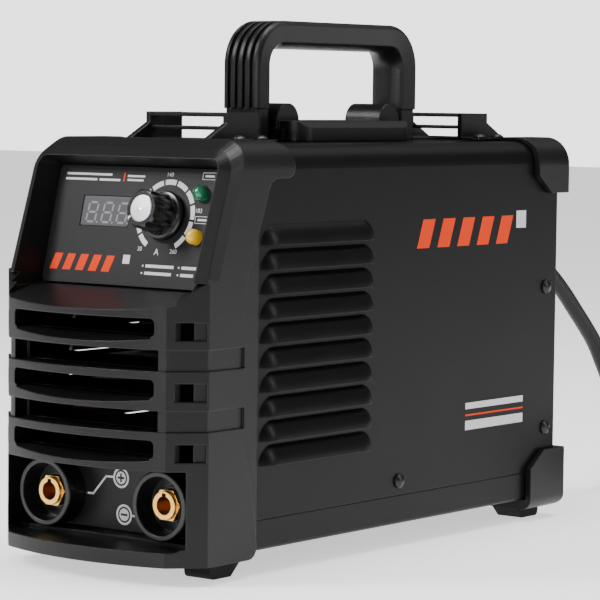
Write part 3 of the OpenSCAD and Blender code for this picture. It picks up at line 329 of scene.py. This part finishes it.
PRINTS = {
    "white_ink": finish_of("white_ink", (0.6, 0.6, 0.62), 0.55, 2600, 0.05, spread=0.06,
                           edge=0.00002),
    "orange_ink": finish_of("orange_ink", (0.72, 0.042, 0.003), 0.6, 2600, 0.05, spread=0.06,
                            edge=0.00002, specular=0.1),
    "digit_grey": finish_of("digit_grey", (0.20, 0.195, 0.21), 0.35, 900, 0.02, edge=0.00002),
}
print("finishes:", len(FINISHES) + len(PRINTS))


# %% [markdown]
# The lamps are tinted domes that light passes through. A little transmission and a faint glow of
# their own keep them bright even though the lamp behind is off.

# %% Lamp lenses
def lens_of(name, color, glow):
    material = finish_of(name, color, 0.16, 500, 0.04, coat=0.6, edge=0.0003)
    shader = material.node_tree.nodes["Principled BSDF"]
    shader.inputs["Transmission Weight"].default_value = 0.25
    shader.inputs["Emission Color"].default_value = (*color, 1)
    shader.inputs["Emission Strength"].default_value = glow
    return material


FINISHES["led_green"] = lens_of("led_green", (0.012, 0.17, 0.075), 0.05)
FINISHES["led_yellow"] = lens_of("led_yellow", (0.80, 0.50, 0.02), 0.12)

slot_of = {}
for entry in frame["record"]["subparts"]:
    slot_of[entry["node"]] = entry["material_slot"]
for name, obj in nodes.items():
    finish = FINISHES[slot_of[name]]
    if not obj.material_slots:
        obj.data.materials.append(finish)
    for slot in obj.material_slots:
        slot.material = finish
mains_lead.data.materials.append(FINISHES["cord_rubber"])
print("nodes finished:", len(nodes))

# %% [markdown]
# Smooth shading by angle keeps the flat faces flat and the turned ones round. A CAD node keeps its
# own mesh, so only new pieces are shaded here.


# %% Piece helpers
def clear_selection():
    if bpy.context.object and bpy.context.object.mode != "OBJECT":
        bpy.ops.object.mode_set(mode="OBJECT")
    bpy.ops.object.select_all(action="DESELECT")


def pick(obj):
    clear_selection()
    obj.select_set(True)
    bpy.context.view_layer.objects.active = obj


def settle(obj):
    """Puts a piece's place, turn and size into its mesh, so its object sits at the origin."""
    pick(obj)
    bpy.ops.object.transform_apply(location=True, rotation=True, scale=True)


def finish_piece(obj, body, material, angle=35):
    obj.data.materials.clear()
    obj.data.materials.append(material)
    pick(obj)
    bpy.ops.object.shade_smooth_by_angle(angle=radians(angle))
    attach(obj, body)
    print("made", obj.name, len(obj.data.polygons), "faces")
    return obj


# %% [markdown]
# ## Printed marks
# The overlay on the panel, the socket plate and the case are screen printed. Ink has almost no
# thickness, so each mark is a flat outline in mesh code, a twentieth of a millimetre proud of its
# surface. The lettering of the real machine is left out: plain bars stand where words would be.

# %% Flat outlines
INK = 0.05


def rect(x, y, w, h, lean=0.0):
    """Corners of a bar from its lower left corner; lean shifts its top edge."""
    return [(x, y), (x + w, y), (x + w + lean, y + h), (x + lean, y + h)]


def ring_piece(x, y, inner, outer, start, end, steps=10):
    angles = [radians(start + (end - start) * i / steps) for i in range(steps + 1)]
    outside = [(x + outer * cos(a), y + outer * sin(a)) for a in angles]
    inside = [(x + inner * cos(a), y + inner * sin(a)) for a in reversed(angles)]
    return outside + inside


def stroke(points, width):
    """A band of even width along a path, one quad per leg, each reaching half a width past its ends."""
    quads = []
    for (x0, y0), (x1, y1) in zip(points, points[1:]):
        along = Vector((x1 - x0, y1 - y0)).normalized()
        side = Vector((-along.y, along.x)) * width / 2
        tip = along * width / 2
        quads.append([(x0 - tip.x - side.x, y0 - tip.y - side.y),
                      (x1 + tip.x - side.x, y1 + tip.y - side.y),
                      (x1 + tip.x + side.x, y1 + tip.y + side.y),
                      (x0 - tip.x + side.x, y0 - tip.y + side.y)])
    return quads


def frame_outline(x, y, w, h, line):
    return [rect(x, y, w, line), rect(x, y + h - line, w, line),
            rect(x, y + line, line, h - 2 * line), rect(x + w - line, y + line, line, h - 2 * line)]


def print_marks(name, outlines, place, body, material):
    """One mesh of flat marks; place turns a mark's own x, y into a point in millimetres."""
    shape = bmesh.new()
    for outline in outlines:
        shape.faces.new([shape.verts.new(place(x, y) * MM) for x, y in outline])
    mesh = bpy.data.meshes.new(name)
    shape.to_mesh(mesh)
    shape.free()
    obj = bpy.data.objects.new(name, mesh)
    bpy.context.scene.collection.objects.link(obj)
    return finish_piece(obj, body, material)


# %% Places of the printed faces
dial = next(j for j in frame["record"]["behaviour"]["joints"] if j["name"] == "dial_turn")
KNOB_X, KNOB_V = 20.2, 35.7
PANEL_LEAN = radians(14)
face_out = Vector((0, -cos(PANEL_LEAN), sin(PANEL_LEAN)))
face_up = Vector((0, sin(PANEL_LEAN), cos(PANEL_LEAN)))
panel_origin = Vector(dial["pos_m"]) / MM - Vector((KNOB_X, 0, 0)) - face_up * KNOB_V


def on_panel(x, v, out=INK):
    return panel_origin + Vector((x, 0, 0)) + face_up * v + face_out * out


plate_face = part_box("socket_plate")[0].y / MM
case_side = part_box("base_tray")[1].x / MM
MARKS_TURN = 157
moulding_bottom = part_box("front_bezel")[0].z / MM


def on_plate(x, z):
    return Vector((x, plate_face - INK, moulding_bottom + z))


def on_right_side(y, z):
    return Vector((case_side + INK, y, z))


def on_left_side(y, z):
    return Vector((-case_side - INK, MARKS_TURN - y, z))


print("panel origin:", [round(v, 1) for v in panel_origin], "plate:", round(plate_face, 2))

# %% Dial scale and panel marks
scale_marks = []
SEGMENTS = 11
SCALE_FROM, SCALE_SWEEP, SCALE_GAP = -60, 300, 2
for i in range(SEGMENTS):
    start = SCALE_FROM + SCALE_SWEEP * i / SEGMENTS
    end = start + SCALE_SWEEP / SEGMENTS
    scale_marks.append(ring_piece(KNOB_X, KNOB_V, 15.7, 18.3, start + SCALE_GAP, end - SCALE_GAP, 6))
white_marks = scale_marks + [
    rect(-49.2, 52.2, 21, 1.1), rect(-26.6, 52.2, 13.6, 1.1), rect(-48.8, 54.8, 30, 1.1),
    rect(-8.4, 54.5, 11.3, 1.0), rect(-8.2, 52.5, 10.4, 1.0),
    rect(-2.4, 11.2, 4.4, 4.4),
]
for x, v, w in ((10.6, 10.0, 18), (33.6, 10.0, 14), (10.6, 6.4, 17), (33.6, 6.4, 8)):
    white_marks.append(rect(x, v + 0.3, 0.9, 0.9))
    white_marks.append(rect(x + 2.2, v, w, 1.5))
for x, v in ((39.6, 54.4), (39.2, 32.8)):
    white_marks += frame_outline(x, v, 9, 3.6, 0.25)
    white_marks.append(rect(x + 1.6, v + 1.3, 5.8, 1.0))
print_marks("panel_print_white", white_marks, on_panel, "machine", PRINTS["white_ink"])
orange_marks = [rect(-10.9, 52, 0.8, 4.6)]
for i in range(5):
    orange_marks.append(rect(-50 + i * 8.6, 6.6, 5.2, 8.2, 2.6))
print_marks("panel_print_orange", orange_marks, on_panel, "machine",
            PRINTS["orange_ink"])


# %% [markdown]
# The numbers round the dial are text objects turned into meshes before they are placed, so that
# their faces sit in the frame as any other mark's do.

# %% Dial numbers
def number(name, text, x, v, size):
    pick(nodes["control_panel"])
    bpy.ops.object.text_add(location=(0, 0, 0))
    obj = bpy.context.object
    obj.name = name
    obj.data.body = text
    obj.data.size = size
    obj.data.align_x = "CENTER"
    obj.data.align_y = "CENTER"
    pick(obj)
    bpy.ops.object.convert(target="MESH")
    for vert in obj.data.vertices:
        vert.co = on_panel(x + vert.co.x, v + vert.co.y) * MM
    obj.data.name = name
    return finish_piece(obj, "machine", PRINTS["white_ink"])


for label, x, v in (("20", 7.2, 19.0), ("140", 18.9, 56.3), ("183", 40.6, 39.0), ("260", 28.8, 18.4)):
    number("dial_" + label, label, x, v, 3.0)
number("dial_unit", "A", 18.2, 17.7, 4.6)

# %% [markdown]
# The knob's white pointer is painted on one of its crests: a strip that starts beside the cap, turns
# over the chamfer and runs down the side. It is laid out as radius and height, then turned.

# %% Knob pointer
POINTER_AT = radians(216)
POINTER_PATH = [(6.9, 18.76), (8.55, 18.76), (9.78, 17.5), (9.78, 12)]
across = Vector((-sin(POINTER_AT), cos(POINTER_AT))) * 0.5
pointer_shape = bmesh.new()
rows = []
for r, height in POINTER_PATH:
    row = []
    for side in (1, -1):
        x = KNOB_X + r * cos(POINTER_AT) + side * across.x
        v = KNOB_V + r * sin(POINTER_AT) + side * across.y
        row.append(pointer_shape.verts.new(on_panel(x, v, height) * MM))
    rows.append(row)
for (a, b), (c, d) in zip(rows, rows[1:]):
    pointer_shape.faces.new([b, d, c, a])
pointer_mesh = bpy.data.meshes.new("knob_pointer")
pointer_shape.to_mesh(pointer_mesh)
pointer_shape.free()
knob_pointer = bpy.data.objects.new("knob_pointer", pointer_mesh)
bpy.context.scene.collection.objects.link(knob_pointer)
finish_piece(knob_pointer, "current_dial", PRINTS["white_ink"])

# %% [markdown]
# The display shows three unlit seven-segment digits. They are pale grey shapes just under the
# window's surface, each a stack of seven slanted bars.

# %% Display digits
SEGMENT_L = 4.6
digit_bars = []
for x in (-31.4, -21.4, -11.4):
    slant = 0.1
    low = 31.4
    for level in range(3):
        v = low + level * (SEGMENT_L + 0.3)
        shift = (v - low) * slant
        digit_bars.append([(x + 0.6 + shift, v), (x + 1.2 + shift, v - 0.5), (x + 4.6 + shift, v - 0.5),
                           (x + 5.2 + shift, v), (x + 4.6 + shift, v + 0.5), (x + 1.2 + shift, v + 0.5)])
    for level in range(2):
        for side in (0, 5.8):
            v = low + level * (SEGMENT_L + 0.3) + 0.45
            shift = (v - low) * slant
            top = shift + (SEGMENT_L - 0.6) * slant
            digit_bars.append([(x + side + shift - 0.5, v + 0.4), (x + side + shift, v),
                               (x + side + shift + 0.5, v + 0.4), (x + side + top + 0.5, v + SEGMENT_L - 1),
                               (x + side + top, v + SEGMENT_L - 0.6), (x + side + top - 0.5, v + SEGMENT_L - 1)])
    digit_bars.append(ring_piece(x + 7.4, low - 0.1, 0, 0.55, 0, 350, 8)[:9])
print_marks("display_segments", digit_bars, lambda x, v: on_panel(x, v, -0.3 + INK), "machine",
            PRINTS["digit_grey"])

# %% [markdown]
# The socket plate carries a plus and a minus, each in a ring with a leader to its socket.

# %% Polarity marks
plate_marks = []
for x, z, leader in ((2.2, 36.4, [(-3.2, 36.4), (-7.6, 36.3), (-16, 27.0), (-19.2, 27.0)]),
                     (4.4, 18.4, [(9.6, 18.4), (21.0, 18.4)])):
    plate_marks.append(ring_piece(x, z, 4.0, 5.1, 0, 359.9, 40))
    plate_marks.append(ring_piece(x, z, 0, 3.1, 0, 350, 35)[:36])
    plate_marks += stroke(leader, 1.0)
print_marks("polarity_print", plate_marks, on_plate, "machine", PRINTS["white_ink"])
signs = [rect(0.0, 35.85, 4.4, 1.1), rect(1.65, 34.2, 1.1, 1.65), rect(1.65, 36.95, 1.1, 1.65),
         rect(2.2, 17.85, 4.4, 1.1)]


def on_plate_high(x, z):
    return on_plate(x, z) - Vector((0, INK, 0))


print_marks("polarity_signs", signs, on_plate_high, "machine", FINISHES["socket_plate"])

# %% Case side marks
side_orange = [rect(27.2 + i * 18.2, 154.2, 11, 15, 5.5) for i in range(5)] + [rect(73.6, 62.9, 55.2, 0.9)]
side_white = [rect(119.6, 162.2, 9.4, 9.4), rect(73.6, 66.6, 55.2, 3.4), rect(73.6, 55.4, 55.2, 5.0)]
for face, name in ((on_right_side, "right"), (on_left_side, "left")):
    print_marks("side_print_orange_" + name, side_orange, face, "machine",
                PRINTS["orange_ink"])
    print_marks("side_print_white_" + name, side_white, face, "machine",
                PRINTS["white_ink"])

# %% [markdown]
# ## Strain relief
# A ribbed rubber boot keeps the cord from bending sharply at the gland. It is a cone that follows the
# first level part of the cord, grooved by a row of rings, and narrower to its end.

# %% Boot
clear_selection()
BOOT_FROM, BOOT_TO = 164.0, 196.0
RINGS = 7
bpy.ops.mesh.primitive_cylinder_add(vertices=32, radius=7.4 * MM, depth=(BOOT_TO - BOOT_FROM) * MM,
                                    location=(0, 0, 0), rotation=(pi / 2, 0, 0))
boot = bpy.context.object
boot.name = "cord_boot"
settle(boot)
cuts = RINGS * 4
work = bmesh.new()
work.from_mesh(boot.data)
for i in range(1, cuts):
    y = ((BOOT_TO - BOOT_FROM) * (i / cuts) - (BOOT_TO - BOOT_FROM) / 2) * MM
    bmesh.ops.bisect_plane(work, geom=work.verts[:] + work.edges[:] + work.faces[:], plane_co=(0, y, 0),
                           plane_no=(0, 1, 0))
for vert in work.verts:
    part = (vert.co.y / MM + (BOOT_TO - BOOT_FROM) / 2) / (BOOT_TO - BOOT_FROM)
    groove = 0.9 if round(part * cuts) % 4 in (2, 3) and 0.1 < part < 0.95 else 0
    radius = (8.6 - 3.1 * part - groove) * MM
    flat = Vector((vert.co.x, 0, vert.co.z)).normalized() * radius
    y = BOOT_FROM + part * (BOOT_TO - BOOT_FROM)
    drop = 0.0
    for a, b in zip(FREE_ROUTE, FREE_ROUTE[1:]):
        if a[1] <= y <= b[1]:
            drop = a[2] + (b[2] - a[2]) * (y - a[1]) / (b[1] - a[1])
    vert.co = Vector((36 * MM + flat.x, y * MM, drop * MM + flat.z))
work.to_mesh(boot.data)
work.free()
bevel = boot.modifiers.new("soft edges", "BEVEL")
bevel.width = 0.25 * MM
bevel.segments = 2
bevel.limit_method = "ANGLE"
pick(boot)
bpy.ops.object.modifier_apply(modifier="soft edges")
finish_piece(boot, "machine", FINISHES["cord_rubber"], 50)

# %% [markdown]
# ## Floor and light
# A pale floor and a pale backdrop with little light of their own. The form of a black machine shows
# only in its highlights, so strip lights from the front left, the right, the front and above draw
# thin bright lines along its rounded edges, and a soft sun evens out the floor.

# %% Floor
clear_selection()
bpy.ops.mesh.primitive_plane_add(size=14, location=(0, 0, -0.0003))
floor = bpy.context.object
floor.name = "floor"
floor_material = bpy.data.materials.new("floor")
floor_material.use_nodes = True
floor_shader = floor_material.node_tree.nodes["Principled BSDF"]
floor_shader.inputs["Base Color"].default_value = (0.9, 0.9, 0.9, 1)
floor_shader.inputs["Roughness"].default_value = 0.6
floor_shader.inputs["Emission Color"].default_value = (1, 1, 1, 1)
floor_shader.inputs["Emission Strength"].default_value = 0.9
floor.data.materials.append(floor_material)

# %% Lights
world = bpy.data.worlds.new("studio")
world.use_nodes = True
world_links = world.node_tree.links
backdrop = world.node_tree.nodes["Background"]
backdrop.inputs["Color"].default_value = (1, 1, 1, 1)
rays = node_at(world.node_tree, "ShaderNodeLightPath", -500, 0)
strength = node_at(world.node_tree, "ShaderNodeMapRange", -250, 0)
strength.inputs["To Min"].default_value = 0.12
strength.inputs["To Max"].default_value = 2.6
world_links.new(rays.outputs["Is Camera Ray"], strength.inputs["Value"])
world_links.new(strength.outputs["Result"], backdrop.inputs["Strength"])
bpy.context.scene.world = world


def soft_light(name, place, aim, size, power):
    data = bpy.data.lights.new(name, "AREA")
    data.shape = "RECTANGLE"
    data.size, data.size_y = size
    data.energy = power
    obj = bpy.data.objects.new(name, data)
    bpy.context.scene.collection.objects.link(obj)
    obj.location = place
    obj.rotation_euler = (Vector(aim) - Vector(place)).to_track_quat("-Z", "Y").to_euler()
    return obj


soft_light("key", (-0.75, -1.0, 1.1), (0, -0.1, 0.12), (0.35, 0.7), 24)
sky_data = bpy.data.lights.new("even_sky", "SUN")
sky_data.energy = 0.7
sky_data.angle = radians(60)
even_sky = bpy.data.objects.new("even_sky", sky_data)
bpy.context.scene.collection.objects.link(even_sky)
even_sky.rotation_euler = (radians(-25), radians(10), 0)
soft_light("side_strip", (1.3, 0.55, 0.75), (0.05, -0.05, 0.14), (0.2, 0.9), 6)
soft_light("front_strip", (0.35, -1.6, 0.5), (0, -0.15, 0.12), (0.2, 0.9), 9)
soft_light("top_strip", (0.1, 0.1, 1.6), (0, 0, 0.1), (0.35, 1.2), 22)
print("lights placed")
